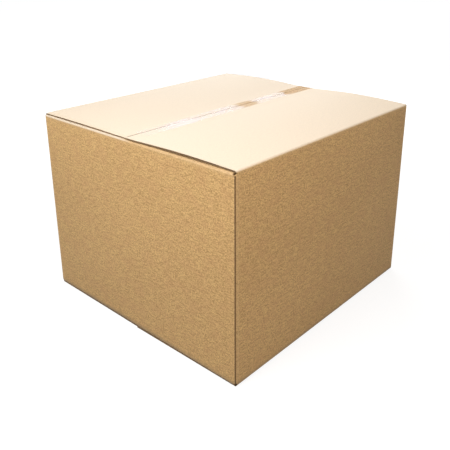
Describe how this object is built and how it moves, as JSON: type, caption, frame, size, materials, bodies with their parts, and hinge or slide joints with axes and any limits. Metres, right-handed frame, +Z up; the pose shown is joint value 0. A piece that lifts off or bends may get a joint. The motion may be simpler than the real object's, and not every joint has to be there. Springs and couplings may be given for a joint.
{
  "type": "pallet carton",
  "caption": "Large closed shipping carton for a pallet, folded from one slotted sheet of corrugated board, with its long flaps taped shut along a centre seam.",
  "frame": {"origin": "centre of the footprint, on the floor that the carton stands on", "axes": "+Z up through the taped top flaps; +X along the centre seam, towards the end where the top tape is pulled over the edge; +Y across the seam, towards the far long panel"},
  "size_m": [1.1201, 1.06, 0.808],
  "materials": {
    "kraft_board": "matte brown kraft liner",
    "clear_tape": "clear glossy film"
  },
  "bodies": {
    "root": {"folded_blank": "kraft_board", "top_tape": "clear_tape", "bottom_tape": "clear_tape"}
  },
  "joints": []
}
